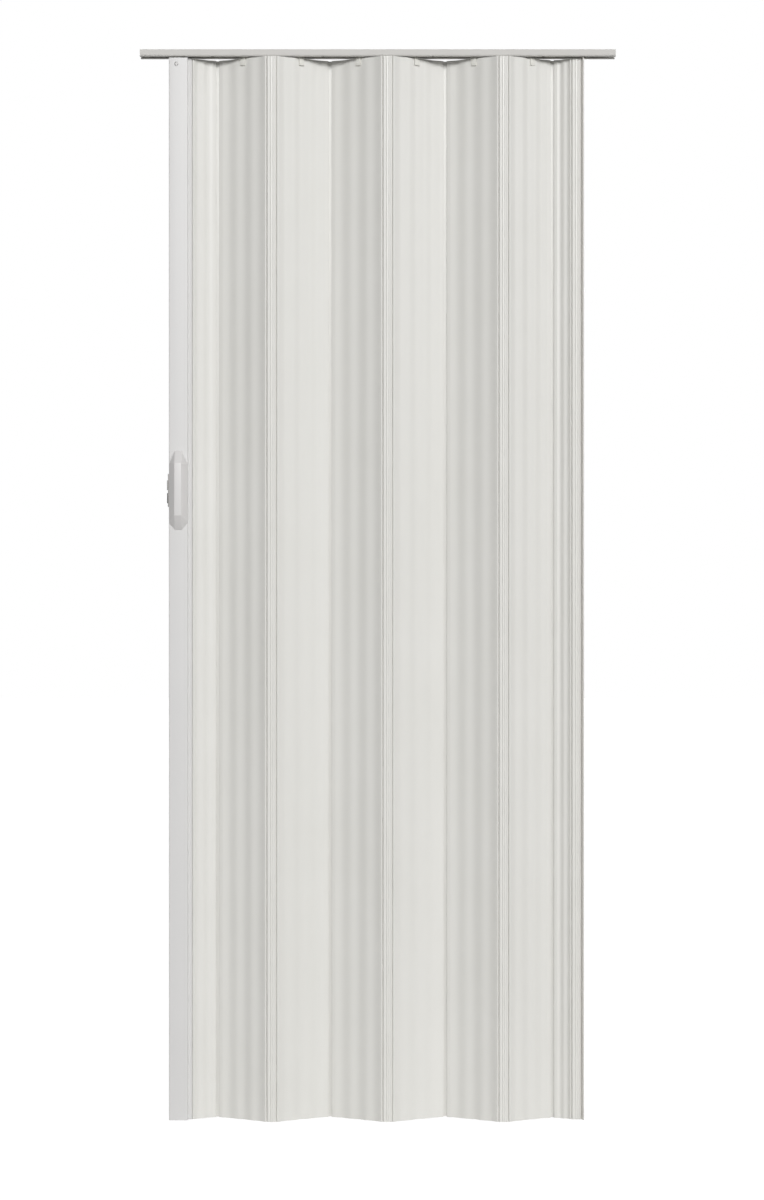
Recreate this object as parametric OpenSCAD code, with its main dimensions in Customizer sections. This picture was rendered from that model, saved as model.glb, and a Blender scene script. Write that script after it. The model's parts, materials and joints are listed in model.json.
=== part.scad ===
// Vinyl folding door hung from a head track, drawn half open.
// Millimetres. +X right, -Y front, +Z up. Origin: centre of the top face of the track.
// Eight panels fold about seven hinge strips. Every strip stays parallel to the track,
// and every glider stays on the track's centre line at any fold angle.

/* [Track] */
// Length of the head track
track_l = 896; // [890:1:1000]
// Width of the track, front to back
track_w = 28; // [27:0.5:34]
// Height of the track
track_h = 13; // [12:0.5:15]
// Wall of the track
track_wall = 1.6; // [1.3:0.1:1.8]
// Width of the slot along the underside
slot_w = 12; // [11:0.5:13]
// How far the bead along the lower edges stands out
track_bead = 0.9; // [0.5:0.1:1.5]
// Height of that bead
track_bead_h = 2; // [1.5:0.1:3]
// Diameter of the screw holes in the top wall
track_hole_d = 4.5; // [3.5:0.1:6]
// Distance between neighbouring screw holes
track_hole_pitch = 207.5; // [190:0.5:220]
// Number of screw holes
track_hole_count = 4; // [3:1:4]
// Distance of the screw holes in front of the track's centre line
track_hole_y = 9.8; // [9.4:0.1:9.8]
// Diameter of the access hole through the front lip below each screw hole
track_access_d = 5.5; // [5:0.1:5.8]

/* [Door] */
// Height of the panels, strips and post
door_h = 2002; // [1900:1:2200]
// Gap between the track and the top of the door
top_gap = 2.1; // [1.8:0.1:3]
// Angle between the panels and the track
fold_deg = 25; // [14:1:60]
// Fold angle when the door is drawn shut
shut_deg = 13; // [12:1:14]
// Fold angle when the door is stacked against the jamb
stacked_deg = 85; // [80:1:86]
// Distance from the track's centre to the last fold line at the jamb
jamb_fold_x = 369.2; // [364:0.2:376]

/* [Panels] */
// Width of a panel between its two fold lines
panel_w = 107; // [104:0.5:110]
// Width of the full panel nearest the post
lead_panel_w = 101.5; // [98:0.5:104]
// Width of the full panel nearest the jamb
jamb_panel_w = 90; // [88:0.5:95]
// Thickness of a panel at its crests
panel_t = 8.4; // [8.2:0.1:8.8]
// Depth of each flute
flute_depth = 1.6; // [1.3:0.1:1.7]
// How much thinner the panel is along its middle
dish_depth = 1.6; // [1.3:0.1:1.7]
// Number of flutes on a full panel
full_flutes = 3; // [3, 5]
// Number of flutes on a part panel
part_flutes = 2; // [2, 4]
// Wall of the panels
skin_t = 1; // [0.8:0.05:1.1]
// Wall at the panels' edges, where the beads join
edge_wall = 1.4; // [1.3:0.1:2]
// How far a panel's lip passes over its fold line
lip_over = 1.6; // [1.2:0.1:1.8]
// Rounding of the panel's plain corners
corner_r = 2; // [1.5:0.1:2.2]

/* [Hinge strips] */
// Distance between the two fold lines of a strip
hinge_pitch = 12; // [11.5:0.1:13]
// Radius of the bead along a panel's edge
bead_r = 1.5; // [1.4:0.05:1.6]
// Thickness of the neck that carries the bead
neck_t = 1; // [0.8:0.05:1.1]
// Wall of the socket round the bead
socket_wall = 1.25; // [1.1:0.05:1.3]
// Thickness of the web between the sockets
web_t = 0.8; // [0.7:0.05:1]
// Width of each rib on the web
rib_w = 0.9; // [0.6:0.1:1.2]
// Distance between the two ribs
rib_pitch = 3.4; // [2.8:0.1:4]
// How far the ribs stand out from the web
rib_h = 0.5; // [0.3:0.05:0.7]

/* [Lead post] */
// Width of the lead post
post_w = 35.8; // [34:0.2:38]
// Depth of the lead post
post_d = 22; // [20:0.5:24]
// Wall of the lead post
post_wall = 1.5; // [1.2:0.1:1.7]
// Rounding of the post's corners
post_corner_r = 1.5; // [1:0.1:2]
// Gap between the post and the fold line of its socket
post_reach = 4.9; // [4.7:0.1:6]

/* [Gliders and clips] */
// Length of a glider's head along the track
glider_l = 16; // [14:0.5:18]
// Depth of a glider's head
glider_d = 20; // [16:0.5:21]
// Height of a glider's head
glider_h = 3.5; // [2.5:0.1:4]
// Diameter of the glider's pin
pin_d = 4; // [3.6:0.1:4.2]
// Diameter of the collar at the pin's foot
collar_d = 6; // [5.4:0.1:6.2]
// Thickness of that collar
collar_t = 2; // [1.5:0.1:2.2]
// Width of a hanger clip
clip_w = 9.4; // [9:0.1:11]
// Depth of a hanger clip
clip_d = 8; // [7.8:0.1:9]
// Height of a hanger clip
clip_h = 14.5; // [13:0.5:20]
// How far a clip stands above the panel's top edge
clip_rise = 1.1; // [0.6:0.1:1.2]
// Thickness of the clip's bridge round the pin
bridge_t = 2.5; // [2:0.1:3]
// Diameter of the clip's stud through the panel
stud_d = 3; // [2:0.1:3.6]
// Thickness of the panel between the legs of a clip
tab_t = 2; // [1.6:0.1:2.2]
// Width of the solid strip beside a clip
clip_land = 1.3; // [1.1:0.1:2]

/* [Lead glider] */
// Length of the lead glider's head along the track
lead_glider_l = 26; // [20:0.5:30]
// Width of its neck
lead_neck_w = 11; // [8:0.5:14]
// Depth of its neck
lead_neck_d = 8; // [6:0.5:10]
// Width of its tongue inside the post
lead_tongue_w = 20; // [14:0.5:24]
// Length of its tongue inside the post
lead_tongue_l = 25; // [18:0.5:40]
// Offset of the lead glider from the post's centre
lead_glider_dx = -3.8; // [-5:0.1:0]
// Depth of the lead glider's screw below the top of the post
lead_screw_drop = 11.5; // [8:0.5:12]
// Diameter of the lead glider's screw
lead_screw_d = 3.5; // [3:0.1:4.5]
// Length of that screw under its head
lead_screw_l = 10; // [6:0.5:14]
// Diameter of that screw's head
lead_screw_head_d = 7.6; // [6:0.1:9]
// Height of that screw's head
lead_screw_head_t = 1.8; // [1.2:0.1:3]

/* [Handle] */
// Depth of the handle's centre below the top of the post
handle_drop = 815; // [700:1:1000]
// Width of the handle's base
handle_w = 34.4; // [30:0.2:34.8]
// Length of the handle's base
handle_l = 149; // [140:1:170]
// Height of the handle
handle_h = 14; // [12:0.5:20]
// Width of the grip face
grip_w = 13.2; // [12:0.2:15]
// Length of the grip face
grip_l = 98; // [90:1:105]
// How far the grip face lies above the middle of the base
grip_rise = 1; // [-3:0.5:4]
// Length of the taper at the base's upper end
taper_top = 24.5; // [18:0.5:28]
// Length of the taper at the base's lower end
taper_bottom = 13; // [8:0.5:16]
// Wall of the handle
handle_wall = 1.8; // [1.4:0.1:2]
// Diameter of the handle screws
handle_screw_d = 4; // [3.5:0.1:4.5]
// Diameter of the handle screws' heads
handle_head_d = 7.2; // [6:0.1:7.6]
// Distance between the handle screws
handle_screw_pitch = 70; // [50:1:80]

/* [Latch] */
// Length of the latch plate
latch_l = 62; // [60:0.5:80]
// Width of the latch plate
latch_w = 16; // [15:0.5:17]
// Thickness of the latch plate
latch_t = 2; // [1.5:0.1:3]
// Length of the boss on the latch plate
boss_l = 18; // [10:0.5:19]
// Width of the boss
boss_w = 10; // [8:0.5:12]
// Height of the boss above the plate
boss_h = 2; // [1:0.1:3]
// Length of the latch tongue
tongue_l = 19.2; // [14:0.2:20]
// Width of the latch tongue
tongue_w = 5.6; // [4:0.1:7]
// How far the tongue stands above the plate
tongue_h = 2; // [1:0.1:3]
// Gap between the tongue at rest and the boss
tongue_gap = 6; // [4:0.1:6.5]
// Travel of the tongue
latch_travel = 5.5; // [3:0.1:5.5]
// Depth of the tongue's top below the middle of the latch plate
tongue_drop = 5; // [3:0.1:5]
// Width of the slide behind the plate
slide_w = 11; // [9:0.2:12]
// Length of slide beyond each end of the tongue
slide_margin = 1.3; // [0.8:0.1:1.3]
// Thickness of the slide behind the plate
slide_t = 1.6; // [1.2:0.1:2]
// Thickness of the guide inside the post
guide_t = 2.5; // [2:0.1:4]
// Diameter of the latch screws
latch_screw_d = 2.2; // [1.6:0.1:2.4]
// Diameter of the latch screws' heads
latch_head_d = 4; // [3:0.1:4]
// Length of plate between a latch screw and the plate's end
latch_screw_edge = 2.7; // [2.4:0.1:2.7]

/* [Jamb strip] */
// Depth of the jamb strip, front to back
strip_d = 18; // [16:0.5:24]
// Thickness of the jamb strip at its back edge
strip_thick = 7.6; // [7.4:0.1:8]
// Thickness of the jamb strip at its front edge
strip_thin = 1.6; // [1.4:0.1:2]
// Wall of the jamb strip
strip_wall = 1.2; // [1:0.05:1.3]
// Diameter of the jamb strip's screw holes
strip_hole_d = 4; // [3:0.1:5]
// Distance of the jamb strip's screw holes in front of its fold line
strip_hole_y = 3.4; // [3:0.1:4]
// Distance between neighbouring screw holes of the jamb strip
strip_hole_pitch = 757; // [700:1:800]
// Number of screw holes in the jamb strip
strip_hole_count = 3; // [3, 5]
// Angle at which the strip's neck leaves its bead, inside the mouth of the hinge's socket
strip_neck_deg = 20; // [14:1:24]

/* [Fits] */
// Radial clearance of beads and pins in their sockets and bores
run_fit = 0.05; // [0.03:0.01:0.08]
// Clearance between a piece and what it rests on or slides past
slip = 0.3; // [0.2:0.05:0.35]
// Clearance round a fixed piece in its seat
seat = 0.15; // [0.1:0.01:0.2]

/* [Hidden] */
$fn = 48;

// Overlap that joins two shapes of one piece, and the overshoot of a cut
lap = 0.5;
// Width of one facet along a panel's fluted face
facet = 3;
// Number of facets round a panel's plain corner
corner_facets = 4;
// Thickness of the plates whose hull makes a handle
handle_plate = 1;
// Wall round a handle's screw holes
handle_boss_wall = 2;
// Heights of the handle screws' heads and the latch screws' heads
handle_head_t = 2.4;
latch_head_t = 0.9;

// Heights
top_z = -(track_h + top_gap);
bottom_z = top_z - door_h;
lip_top_z = -track_h + track_wall;
head_z = lip_top_z + slip;
clip_top_z = top_z + clip_rise;
bridge_z = clip_top_z - bridge_t;
collar_top_z = bridge_z - slip;
collar_z = collar_top_z - collar_t;
seat_z = collar_z - slip;
clip_foot_z = clip_top_z - clip_h;
stud_z = (seat_z + clip_foot_z) / 2;
handle_z = top_z - handle_drop;

// Hinge strip section
bore_r = bead_r + run_fit;
socket_r = bore_r + socket_wall;
neck_deg = asin(neck_t / 2 / bore_r);
mouth_spare = 7;
mouth_from = shut_deg - neck_deg - mouth_spare;
mouth_to = stacked_deg + neck_deg + mouth_spare;
web_gap = 0.2;
web_y = -(bore_r + web_gap);
end_gap = socket_r + slip;

// Widths along the door from the jamb to the post
half_w = panel_w / 2;
jamb_half_w = jamb_panel_w - half_w;
lead_half_w = lead_panel_w - half_w;
widths = [jamb_half_w, jamb_panel_w, panel_w, panel_w, panel_w, panel_w, lead_panel_w, lead_half_w];

// Fold lines at the right and left edge of the k-th panel from the jamb
function width_before(k) = k == 0 ? 0 : width_before(k - 1) + widths[k - 1];
function signed_before(k) = k == 0 ? 0 : signed_before(k - 1) + (k % 2 == 1 ? 1 : -1) * widths[k - 1];
function right_fold(k) = [
  jamb_fold_x - width_before(k) * cos(fold_deg) - k * hinge_pitch,
  signed_before(k) * sin(fold_deg)
];
function left_fold(k) = [right_fold(k)[0] - widths[k] * cos(fold_deg), signed_before(k + 1) * sin(fold_deg)];

// Distance of a full panel's glider from its left fold line
function hang_x(k) = k % 2 == 0 ? widths[k] - half_w : half_w;

// Post and latch
lead_fold_x = left_fold(7)[0];
post_x1 = lead_fold_x - post_reach;
post_x0 = post_x1 - post_w;
post_x = (post_x0 + post_x1) / 2;
lead_glider_x = post_x + lead_glider_dx;
tongue_top_z = handle_z - tongue_drop;
tongue_z = tongue_top_z - tongue_l;
slide_top_z = tongue_top_z + slide_margin;
slide_z = tongue_z - slide_margin;
window_top_z = slide_top_z + latch_travel + slip;
window_z = slide_z - slip;
latch_screw_z = latch_l / 2 - latch_screw_edge;
pocket_d = slide_t + slip - post_wall + slip;

// Jamb strip
strip_fold_x = jamb_fold_x + hinge_pitch;
strip_mid = (strip_thick + strip_thin) / 2;
strip_x = strip_fold_x + socket_r + slip + strip_mid;

// Panel section

// Half thickness of a panel at s, which runs from -1 at one edge to 1 at the other
function half_t(s, n) =
  panel_t / 2 - dish_depth * (1 - s * s) - flute_depth * (1 - cos(180 * n * (s + 1))) / 2;

// Middle of the j-th flute
function flute_s(j, n) = -1 + (2 * j + 1) / n;

// Drop of a rounded corner at distance d from the panel's end
function corner_drop(d) = d >= corner_r ? 0 : corner_r - sqrt(corner_r * corner_r - (corner_r - d) * (corner_r - d));

// Evenly spaced values from a to b
function steps(a, b) = let(n = max(2, ceil((b - a) / facet))) [for (i = [0:n]) a + (b - a) * i / n];

// Outline of a panel's fluted body between its ends
module body_2d(w, n) {
  x0 = end_gap;
  x1 = w - end_gap;
  mid = (x0 + x1) / 2;
  half = (x1 - x0) / 2;
  rounding = [for (i = [0:corner_facets - 1]) corner_r * (1 - cos(90 * i / corner_facets))];
  xs = concat(
    [for (d = rounding) x0 + d],
    steps(x0 + corner_r, x1 - corner_r),
    [for (i = [corner_facets - 1:-1:0]) x1 - rounding[i]]
  );
  function edge(x) = half_t((x - mid) / half, n) - corner_drop(min(x - x0, x1 - x));
  polygon(concat(
    [for (x = xs) [x, edge(x)]],
    [for (i = [len(xs) - 1:-1:0]) [xs[i], -edge(xs[i])]]
  ));
}

// Hollow of a panel from x = a to x = b
module chamber_2d(w, n, a, b) {
  mid = w / 2;
  half = w / 2 - end_gap;
  xs = steps(a, b);
  function inner(x) = half_t((x - mid) / half, n) - skin_t;
  polygon(concat(
    [for (x = xs) [x, inner(x)]],
    [for (i = [len(xs) - 1:-1:0]) [xs[i], -inner(xs[i])]]
  ));
}

// Bead and neck at a fold line on the left of a panel
module bead_2d() {
  circle(r = bead_r);
  translate([0, -neck_t / 2]) square([end_gap + lap, neck_t]);
}

// Lip that covers the hinge on the inner side of a fold line on the left of a panel
module lip_2d() {
  lip_t = panel_t / 2 - socket_r - slip;
  root = end_gap + corner_r;
  translate([-lip_over + lip_t / 2, panel_t / 2 - lip_t / 2]) circle(d = lip_t, $fn = 24);
  translate([-lip_over + lip_t / 2, panel_t / 2 - lip_t]) square([lip_over - lip_t / 2 + root, lip_t]);
}

// Hollow wall of a panel. hang is the glider's place, or undef on a part panel.
module wall_2d(w, n, hang) {
  mid = w / 2;
  half = mid - end_gap;
  land = clip_w / 2 + clip_land;
  difference() {
    body_2d(w, n);
    for (j = [0:n]) {
      middle_before = hang != undef && 2 * j - 1 == n;
      middle_after = hang != undef && 2 * j + 1 == n;
      a = j == 0 ? end_gap + edge_wall
        : middle_before ? max(mid, hang) + land
        : mid + half * flute_s(j - 1, n) + skin_t / 2;
      b = j == n ? w - end_gap - edge_wall
        : middle_after ? min(mid, hang) - land
        : mid + half * flute_s(j, n) - skin_t / 2;
      chamber_2d(w, n, a, b);
    }
  }
}

// Panel with its left fold line at the origin and its back towards +Y.
// The left end is at a front fold.
module panel_solid(w, n, hang) {
  translate([0, 0, bottom_z]) {
    linear_extrude(door_h) wall_2d(w, n, hang);
    for (end = [0, 1])
      translate([end * w, 0, 0]) rotate([0, 0, 180 * end]) {
        linear_extrude(door_h) bead_2d();
        linear_extrude(door_h) lip_2d();
      }
  }
}

// The k-th panel from the jamb is placed on its fold lines. Odd ones have their left end at a front fold.
module on_panel(k) {
  at = left_fold(k);
  translate([at[0], at[1], 0]) rotate([0, 0, k % 2 == 1 ? fold_deg : -fold_deg]) children();
}

// Even panels are the same section turned over
module turned(k) {
  mirror([0, k % 2 == 0 ? 1 : 0, 0]) children();
}

// Seat of a hanger clip in the top edge of a panel
module clip_seat(x) {
  reach = clip_w / 2 + seat;
  translate([x - reach, -panel_t, seat_z - seat]) cube([2 * reach, 2 * panel_t, -seat_z]);
  for (side = [0, 1])
    mirror([0, side, 0])
      translate([x - reach, tab_t / 2, clip_foot_z - seat]) cube([2 * reach, panel_t, -clip_foot_z]);
  translate([x, 0, stud_z]) rotate([90, 0, 0]) cylinder(d = stud_d + 2 * seat, h = 2 * panel_t, center = true);
}

module full_panel(k) {
  color("whitesmoke") on_panel(k) difference() {
    turned(k) panel_solid(widths[k], full_flutes, hang_x(k));
    clip_seat(hang_x(k));
  }
}

module part_panel(k) {
  color("whitesmoke") on_panel(k) turned(k) panel_solid(widths[k], part_flutes, undef);
}

// Hinge strips

// Socket round a bead, open on its outward side (+X) and the fold's inner side (+Y)
module socket_2d() {
  mouth = [for (i = [0:4]) let(a = mouth_from + (mouth_to - mouth_from) * i / 4) 2 * socket_r * [cos(a), sin(a)]];
  difference() {
    circle(r = socket_r);
    circle(r = bore_r);
    polygon(concat([[0, 0]], mouth));
  }
}

// Strip with two sockets, its visible ribs towards -Y
module strip_2d() {
  half = hinge_pitch / 2;
  difference() {
    union() {
      for (side = [0, 1]) mirror([side, 0]) translate([half, 0]) socket_2d();
      translate([-half, web_y - web_t]) square([hinge_pitch, web_t]);
      for (side = [-1, 1])
        translate([side * rib_pitch / 2 - rib_w / 2, web_y - web_t - rib_h]) square([rib_w, rib_h + web_t / 2]);
    }
    for (side = [-1, 1]) translate([side * half, 0]) circle(r = bore_r);
  }
}

// Hinge strip to the right of the k-th panel
module hinge(k) {
  at = right_fold(k);
  color("gainsboro") translate([at[0] + hinge_pitch / 2, at[1], bottom_z])
    mirror([0, k % 2 == 1 ? 1 : 0, 0]) linear_extrude(door_h) strip_2d();
}

// Head track

module track_2d() {
  half = track_w / 2;
  lip = half - slot_w / 2;
  translate([-half, -track_wall]) square([track_w, track_wall]);
  for (side = [0, 1]) mirror([side, 0]) {
    translate([half - track_wall, -track_h]) square([track_wall, track_h]);
    translate([half - lip, -track_h]) square([lip, track_wall]);
    translate([half - track_wall, -track_h + track_wall]) square([track_wall + track_bead, track_bead_h]);
  }
}

module head_track() {
  color("lightgray") difference() {
    translate([-track_l / 2, 0, 0]) rotate([90, 0, 90]) linear_extrude(track_l) track_2d();
    for (i = [0:track_hole_count - 1])
      translate([(i - (track_hole_count - 1) / 2) * track_hole_pitch, -track_hole_y, 0]) {
        translate([0, 0, -track_wall - lap]) cylinder(d = track_hole_d, h = track_wall + 2 * lap);
        translate([0, 0, -track_h - lap]) cylinder(d = track_access_d, h = track_wall + 2 * lap);
      }
  }
}

// Jamb strip, a hollow tapered moulding with its flat back against the jamb

module jamb_strip_2d() {
  half = strip_d / 2;
  slope = (strip_thick - strip_thin) / strip_d;
  function face(y) = strip_mid + slope * y;
  difference() {
    polygon([
      [strip_x, -half],
      [strip_x, half],
      [strip_x - strip_thick, half],
      [strip_x - strip_thin, -half]
    ]);
    polygon([
      [strip_x - strip_wall, 0],
      [strip_x - strip_wall, half - strip_wall],
      [strip_x - face(half - strip_wall) + strip_wall, half - strip_wall],
      [strip_x - face(0) + strip_wall, 0]
    ]);
  }
  translate([strip_fold_x, 0]) {
    circle(r = bead_r);
    rotate(strip_neck_deg) translate([0, -neck_t / 2]) square([socket_r + slip + lap, neck_t]);
  }
}

module jamb_strip() {
  strip_top_z = -track_h - slip;
  mid_z = (bottom_z + strip_top_z) / 2;
  color("silver") difference() {
    translate([0, 0, bottom_z]) linear_extrude(strip_top_z - bottom_z) jamb_strip_2d();
    for (i = [0:strip_hole_count - 1])
      translate([strip_x - strip_thick - lap, -strip_hole_y, mid_z + (i - (strip_hole_count - 1) / 2) * strip_hole_pitch])
        rotate([0, 90, 0]) cylinder(d = strip_hole_d, h = strip_thick + 2 * lap);
  }
}

// Gliders and hanger clips

module hanger_clip(k) {
  gap = tab_t + 2 * seat;
  color("white") on_panel(k) translate([hang_x(k), 0, 0]) difference() {
    union() {
      difference() {
        translate([-clip_w / 2, -clip_d / 2, clip_foot_z]) cube([clip_w, clip_d, clip_h]);
        translate([-clip_w, -gap / 2, clip_foot_z - lap]) cube([2 * clip_w, gap, seat_z - clip_foot_z + lap]);
      }
      translate([0, 0, stud_z]) rotate([90, 0, 0]) cylinder(d = stud_d, h = clip_d, center = true);
    }
    translate([0, 0, bridge_z - lap]) cylinder(d = pin_d + 2 * run_fit, h = bridge_t + 2 * lap);
    translate([0, 0, seat_z - lap]) cylinder(d = collar_d + 2 * slip, h = bridge_z - seat_z + lap);
  }
}

module glider(k) {
  at = left_fold(k);
  turn = k % 2 == 1 ? fold_deg : -fold_deg;
  color("white")
    translate([at[0] + hang_x(k) * cos(turn), at[1] + hang_x(k) * sin(turn), 0]) {
      translate([-glider_l / 2, -glider_d / 2, head_z]) cube([glider_l, glider_d, glider_h]);
      translate([0, 0, collar_z]) cylinder(d = pin_d, h = head_z - collar_z + lap);
      translate([0, 0, collar_z]) cylinder(d = collar_d, h = collar_t);
    }
}

module lead_glider() {
  tongue_d = post_d - 2 * post_wall - 2 * seat;
  tongue_z0 = top_z - lead_tongue_l;
  color("white") translate([lead_glider_x, 0, 0]) difference() {
    union() {
      translate([-lead_glider_l / 2, -glider_d / 2, head_z]) cube([lead_glider_l, glider_d, glider_h]);
      translate([-lead_neck_w / 2, -lead_neck_d / 2, top_z - lap])
        cube([lead_neck_w, lead_neck_d, head_z - top_z + 2 * lap]);
      translate([-lead_tongue_w / 2, -tongue_d / 2, tongue_z0]) cube([lead_tongue_w, tongue_d, lead_tongue_l]);
    }
    lead_screw_bore();
  }
}

// Bore of the lead glider's screw, from the post's front face inwards
module lead_screw_bore() {
  translate([0, -post_d / 2 - lap, top_z - lead_screw_drop])
    rotate([-90, 0, 0]) cylinder(d = lead_screw_d + 2 * seat, h = lead_screw_l + slip + lap);
}

module lead_glider_screw() {
  color("silver") translate([lead_glider_x, -post_d / 2, top_z - lead_screw_drop]) rotate([-90, 0, 0]) {
    cylinder(d = lead_screw_d, h = lead_screw_l);
    translate([0, 0, -lead_screw_head_t]) cylinder(d = lead_screw_head_d, h = lead_screw_head_t);
  }
}

// Lead post

module post_2d() {
  x0 = post_x0;
  y0 = -post_d / 2;
  r = post_corner_r;
  difference() {
    union() {
      translate([x0 + r, y0]) square([post_w - 2 * r, post_d]);
      translate([x0, y0 + r]) square([post_w, post_d - 2 * r]);
      for (x = [x0 + r, post_x1 - r], y = [y0 + r, -y0 - r]) translate([x, y]) circle(r = r, $fn = 24);
    }
    translate([x0 + post_wall, y0 + post_wall]) square([post_w - 2 * post_wall, post_d - 2 * post_wall]);
  }
  difference() {
    union() {
      translate([lead_fold_x, 0]) socket_2d();
      translate([post_x1 - post_wall / 2, web_y - web_t]) square([post_reach + post_wall / 2, web_t]);
    }
    translate([lead_fold_x, 0]) circle(r = bore_r);
  }
}

// Holes for the handle screws, each at a height of its own
module at_handle_screws() {
  for (side = [-1, 1]) translate([post_x, 0, handle_z + side * handle_screw_pitch / 2]) rotate([90, 0, 0]) children();
}

module at_latch_screws() {
  for (side = [-1, 1]) translate([post_x0, 0, handle_z + side * latch_screw_z]) rotate([0, 90, 0]) children();
}

module lead_post() {
  window_w = slide_w + 2 * slip;
  color("whitesmoke") difference() {
    translate([0, 0, bottom_z]) linear_extrude(door_h) post_2d();
    translate([lead_glider_x, 0, 0]) lead_screw_bore();
    at_handle_screws() cylinder(d = handle_screw_d + 2 * seat, h = 2 * post_d, center = true);
    translate([post_x0 - lap, -window_w / 2, window_z])
      cube([post_wall + 2 * lap, window_w, window_top_z - window_z]);
    at_latch_screws() cylinder(d = latch_screw_d + 2 * seat, h = 4 * post_wall, center = true);
  }
}

// Handles

// Faceted shell of a handle with its base on the plane z = 0 and its length along Y, shrunk by a wall
module grip_solid(wall) {
  half = handle_w / 2 - wall;
  tip = grip_w / 2 - wall / 2;
  y1 = handle_l / 2 - wall;
  hull() {
    linear_extrude(handle_plate) polygon([
      [-tip, y1], [tip, y1],
      [half, y1 - taper_top], [half, -y1 + taper_bottom],
      [tip, -y1], [-tip, -y1],
      [-half, -y1 + taper_bottom], [-half, y1 - taper_top]
    ]);
    translate([-grip_w / 2 + wall / 2, grip_rise - grip_l / 2 + wall / 2, handle_h - wall - handle_plate])
      cube([grip_w - wall, grip_l - wall, handle_plate]);
  }
}

module handle_shell() {
  boss_d = handle_screw_d + 2 * handle_boss_wall;
  overshoot = lap / 50;
  difference() {
    grip_solid(0);
    translate([0, 0, -overshoot]) grip_solid(handle_wall);
  }
  for (side = [-1, 1]) translate([0, side * handle_screw_pitch / 2, 0]) cylinder(d = boss_d, h = handle_h - handle_wall / 2);
}

module handle_front() {
  color("gainsboro") translate([post_x, -post_d / 2, handle_z]) rotate([90, 0, 0]) difference() {
    handle_shell();
    for (side = [-1, 1])
      translate([0, side * handle_screw_pitch / 2, -lap])
        cylinder(d = handle_screw_d + 2 * seat, h = handle_h - 2 * handle_wall + lap);
  }
}

module handle_back() {
  head_z0 = handle_h / 2;
  color("gainsboro") translate([post_x, post_d / 2, handle_z]) rotate([90, 0, 0]) mirror([0, 0, 1]) difference() {
    handle_shell();
    for (side = [-1, 1]) translate([0, side * handle_screw_pitch / 2, 0]) {
      translate([0, 0, -lap]) cylinder(d = handle_screw_d + 2 * seat, h = 2 * handle_h);
      translate([0, 0, head_z0]) cylinder(d = handle_head_d + 2 * seat, h = handle_h);
    }
  }
}

module handle_screws() {
  head_y = post_d / 2 + handle_h / 2;
  shank_l = head_y + post_d / 2 + handle_h - 2 * handle_wall - slip;
  color("silver") at_handle_screws() {
    translate([0, 0, -head_y - handle_head_t]) cylinder(d = handle_head_d, h = handle_head_t);
    translate([0, 0, -head_y - lap]) cylinder(d = handle_screw_d, h = shank_l + lap);
  }
}

// Latch

module latch_plate() {
  window_w = tongue_w + 2 * slip;
  boss_z = tongue_top_z + tongue_gap;
  color("gray") difference() {
    union() {
      translate([post_x0 - latch_t, -latch_w / 2, handle_z - latch_l / 2]) cube([latch_t, latch_w, latch_l]);
      translate([post_x0 - latch_t - boss_h, -boss_w / 2, boss_z]) cube([boss_h + lap, boss_w, boss_l]);
    }
    translate([post_x0 - latch_t - lap, -window_w / 2, tongue_z - slip])
      cube([latch_t + 2 * lap, window_w, tongue_l + latch_travel + 2 * slip]);
    at_latch_screws() cylinder(d = latch_screw_d + 2 * seat, h = 4 * latch_t, center = true);
  }
}

module latch_slide() {
  base_x = post_x0 + slip / 2;
  color("dimgray") {
    translate([base_x, -slide_w / 2, slide_z]) cube([slide_t, slide_w, slide_top_z - slide_z]);
    translate([post_x0 - latch_t - tongue_h, -tongue_w / 2, tongue_z])
      cube([latch_t + tongue_h + slip / 2 + slide_t / 2, tongue_w, tongue_l]);
  }
}

module latch_guide() {
  x0 = post_x0 + post_wall;
  pocket_w = slide_w + 2 * slip;
  color("lightgray") difference() {
    translate([x0, -latch_w / 2, handle_z - latch_l / 2]) cube([guide_t, latch_w, latch_l]);
    translate([x0 - lap, -pocket_w / 2, window_z]) cube([pocket_d + lap, pocket_w, window_top_z - window_z]);
    at_latch_screws() cylinder(d = latch_screw_d, h = 4 * (post_wall + guide_t), center = true);
  }
}

module latch_screws() {
  length = latch_t + post_wall + guide_t;
  color("silver") at_latch_screws() {
    translate([0, 0, -latch_t - latch_head_t]) cylinder(d = latch_head_d, h = latch_head_t);
    translate([0, 0, -latch_t - latch_head_t / 2]) cylinder(d = latch_screw_d, h = length + latch_head_t / 2);
  }
}

head_track();
jamb_strip();
hinge(0);  // jamb_hinge
part_panel(0);  // jamb_half_panel
hinge(1);  // back_hinge_4
full_panel(1);  // panel_6
hinge(2);  // front_hinge_3
full_panel(2);  // panel_5
hinge(3);  // back_hinge_3
full_panel(3);  // panel_4
hinge(4);  // front_hinge_2
full_panel(4);  // panel_3
hinge(5);  // back_hinge_2
full_panel(5);  // panel_2
hinge(6);  // front_hinge_1
full_panel(6);  // panel_1
hinge(7);  // back_hinge_1
part_panel(7);  // lead_half_panel
lead_post();
hanger_clip(6);  // hanger_clip_1
hanger_clip(5);  // hanger_clip_2
hanger_clip(4);  // hanger_clip_3
hanger_clip(3);  // hanger_clip_4
hanger_clip(2);  // hanger_clip_5
hanger_clip(1);  // hanger_clip_6
glider(6);  // glider_1
glider(5);  // glider_2
glider(4);  // glider_3
glider(3);  // glider_4
glider(2);  // glider_5
glider(1);  // glider_6
lead_glider();
lead_glider_screw();
handle_front();
handle_back();
handle_screws();
latch_plate();
latch_guide();
latch_slide();
latch_screws();
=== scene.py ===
"""A white vinyl folding door of fluted panels on hinge strips, dressed for its portrait."""

from __future__ import annotations

import json
import logging
import math
from dataclasses import dataclass, field
from enum import Enum

import bpy
from mathutils import Matrix, Vector
from mathutils.geometry import tessellate_polygon

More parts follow.
